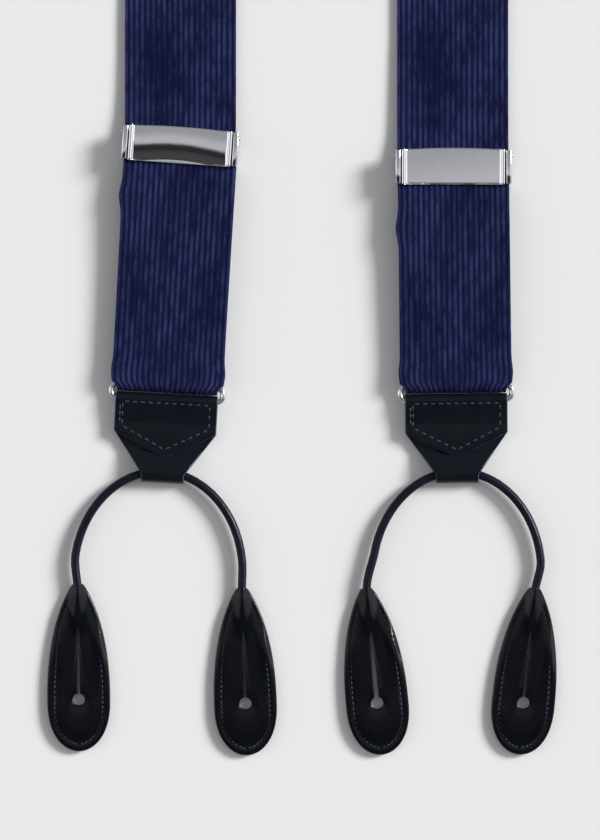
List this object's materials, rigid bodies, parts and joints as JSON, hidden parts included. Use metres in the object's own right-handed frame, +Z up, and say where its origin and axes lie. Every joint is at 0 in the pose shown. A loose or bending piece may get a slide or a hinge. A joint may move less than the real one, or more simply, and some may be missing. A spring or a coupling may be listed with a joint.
{
  "type": "suspenders",
  "caption": "Button-on braces with corduroy straps, hinged metal adjusters, wire rings, rolled leather cords with buttonhole ears, and a back patch with elastic.",
  "frame": {"origin": "on the table under the middle of the whole, laid flat with the straps folded over once at the shoulder", "axes": "+Y from the front ears up the straps to the shoulder fold, +X to the right seen from above, +Z up from the table"},
  "size_m": [0.1816, 0.736, 0.0084],
  "materials": {
    "corduroy": "matte, fine ribs with a soft pile",
    "leather": "glossy, lightly grained",
    "nickel": "polished",
    "lining": "matte twill",
    "elastic": "matte ribbed webbing"
  },
  "bodies": {
    "root": {"left_shoulder_strap": "corduroy", "right_shoulder_strap": "corduroy", "back_patch_leather": "leather", "back_patch_lining": "lining", "back_elastic": "elastic"},
    "left_adjuster": {"left_adjuster_frame": "nickel", "left_adjuster_pin": "nickel"},
    "left_clip": {"left_adjuster_clip": "nickel"},
    "left_loop": {"left_strap_loop": "corduroy"},
    "left_ring": {"left_ring": "nickel"},
    "left_tab": {"left_tab": "leather"},
    "left_cord": {"left_rolled_cord": "leather"},
    "left_ear_1": {"left_ear_1_front": "leather", "left_ear_1_back": "leather"},
    "left_ear_2": {"left_ear_2_front": "leather", "left_ear_2_back": "leather"},
    "right_adjuster": {"right_adjuster_frame": "nickel", "right_adjuster_pin": "nickel"},
    "right_clip": {"right_adjuster_clip": "nickel"},
    "right_loop": {"right_strap_loop": "corduroy"},
    "right_ring": {"right_ring": "nickel"},
    "right_tab": {"right_tab": "leather"},
    "right_cord": {"right_rolled_cord": "leather"},
    "right_ear_1": {"right_ear_1_front": "leather", "right_ear_1_back": "leather"},
    "right_ear_2": {"right_ear_2_front": "leather", "right_ear_2_back": "leather"},
    "rear_elastic_end": {"back_elastic_end": "elastic"},
    "rear_ring": {"rear_ring": "nickel"},
    "rear_tab": {"rear_tab": "leather"},
    "rear_cord": {"rear_rolled_cord": "leather"},
    "rear_ear_1": {"rear_ear_1_front": "leather", "rear_ear_1_back": "leather"},
    "rear_ear_2": {"rear_ear_2_front": "leather", "rear_ear_2_back": "leather"}
  },
  "joints": [
    {"name": "left_adjuster_slide", "type": "slide", "parent": "root", "child": "left_adjuster", "axis": [0, 1, 0], "range_m": [-0.08, 0.06], "deforming": ["left_shoulder_strap"]},
    {"name": "left_clip_hinge", "type": "hinge", "parent": "left_adjuster", "child": "left_clip", "pos_m": [-0.04299, -0.14729, 0.00675], "axis": [-0.9976, 0.0698, 0], "range_deg": [0, 55]},
    {"name": "left_loop_slide", "type": "slide", "parent": "left_adjuster", "child": "left_loop", "axis": [0.0541, 0.9985, 0], "range_m": [-0.03, 0.04], "deforming": ["left_strap_loop"]},
    {"name": "left_ring_hinge", "type": "hinge", "parent": "left_loop", "child": "left_ring", "pos_m": [-0.04786, -0.23605, 0.0027], "axis": [-0.9985, 0.0541, 0], "range_deg": [0, 45]},
    {"name": "left_tab_hinge", "type": "hinge", "parent": "left_ring", "child": "left_tab", "pos_m": [-0.04816, -0.24154, 0.0027], "axis": [-0.9985, 0.0541, 0], "range_deg": [0, 75]},
    {"name": "left_cord_run", "type": "hinge", "parent": "left_tab", "child": "left_cord", "pos_m": [-0.05089, -0.29189, 0.0027], "axis": [0, 0, 1], "range_deg": [-10, 10]},
    {"name": "left_ear_1_flex", "type": "hinge", "parent": "left_cord", "child": "left_ear_1", "pos_m": [-0.07995, -0.30702, 0.0045], "axis": [-1, -0.0087, 0], "range_deg": [0, 50], "stiffness_Nm_per_rad": 0.004},
    {"name": "left_ear_2_flex", "type": "hinge", "parent": "left_cord", "child": "left_ear_2", "pos_m": [-0.02144, -0.30849, 0.0045], "axis": [-0.9995, -0.0314, 0], "range_deg": [0, 50], "stiffness_Nm_per_rad": 0.004},
    {"name": "right_adjuster_slide", "type": "slide", "parent": "root", "child": "right_adjuster", "axis": [0, 1, 0], "range_m": [-0.08, 0.06], "deforming": ["right_shoulder_strap"]},
    {"name": "right_clip_hinge", "type": "hinge", "parent": "right_adjuster", "child": "right_clip", "pos_m": [0.05376, -0.15476, 0.00675], "axis": [-1, 0.0017, 0], "range_deg": [0, 55]},
    {"name": "right_loop_slide", "type": "slide", "parent": "right_adjuster", "child": "right_loop", "axis": [-0.014, 0.9999, 0], "range_m": [-0.03, 0.04], "deforming": ["right_strap_loop"]},
    {"name": "right_ring_hinge", "type": "hinge", "parent": "right_loop", "child": "right_ring", "pos_m": [0.05484, -0.23605, 0.0027], "axis": [-0.9999, -0.014, 0], "range_deg": [0, 45]},
    {"name": "right_tab_hinge", "type": "hinge", "parent": "right_ring", "child": "right_tab", "pos_m": [0.05491, -0.24155, 0.0027], "axis": [-0.9999, -0.014, 0], "range_deg": [0, 75]},
    {"name": "right_cord_run", "type": "hinge", "parent": "right_tab", "child": "right_cord", "pos_m": [0.05562, -0.29196, 0.0027], "axis": [0, 0, 1], "range_deg": [-10, 10]},
    {"name": "right_ear_1_flex", "type": "hinge", "parent": "right_cord", "child": "right_ear_1", "pos_m": [0.02295, -0.3085, 0.0045], "axis": [-0.9956, -0.0941, 0], "range_deg": [0, 50], "stiffness_Nm_per_rad": 0.004},
    {"name": "right_ear_2_flex", "type": "hinge", "parent": "right_cord", "child": "right_ear_2", "pos_m": [0.08305, -0.30846, 0.0045], "axis": [-0.9951, 0.0993, 0], "range_deg": [0, 50], "stiffness_Nm_per_rad": 0.004},
    {"name": "rear_elastic_stretch", "type": "slide", "parent": "root", "child": "rear_elastic_end", "axis": [0, -1, 0], "range_m": [0, 0.04], "stiffness_N_per_m": 150, "deforming": ["back_elastic"]},
    {"name": "rear_ring_hinge", "type": "hinge", "parent": "rear_elastic_end", "child": "rear_ring", "pos_m": [0.00534, 0.09495, 0.0034], "axis": [-1, 0, 0], "range_deg": [0, 45]},
    {"name": "rear_tab_hinge", "type": "hinge", "parent": "rear_ring", "child": "rear_tab", "pos_m": [0.00534, 0.08945, 0.0034], "axis": [-1, 0, 0], "range_deg": [0, 75]},
    {"name": "rear_cord_run", "type": "hinge", "parent": "rear_tab", "child": "rear_cord", "pos_m": [0.00534, 0.03903, 0.0034], "axis": [0, 0, 1], "range_deg": [-10, 10]},
    {"name": "rear_ear_1_flex", "type": "hinge", "parent": "rear_cord", "child": "rear_ear_1", "pos_m": [0.03474, 0.02255, 0.0062], "axis": [-0.9994, 0.0349, 0], "range_deg": [0, 50], "stiffness_Nm_per_rad": 0.004},
    {"name": "rear_ear_2_flex", "type": "hinge", "parent": "rear_cord", "child": "rear_ear_2", "pos_m": [-0.02406, 0.02255, 0.0062], "axis": [-0.9994, -0.0349, 0], "range_deg": [0, 50], "stiffness_Nm_per_rad": 0.004}
  ],
  "couplings": [
    {"joint": "left_loop_slide", "follows": "left_adjuster_slide", "ratio": -0.5},
    {"joint": "right_loop_slide", "follows": "right_adjuster_slide", "ratio": -0.5}
  ]
}
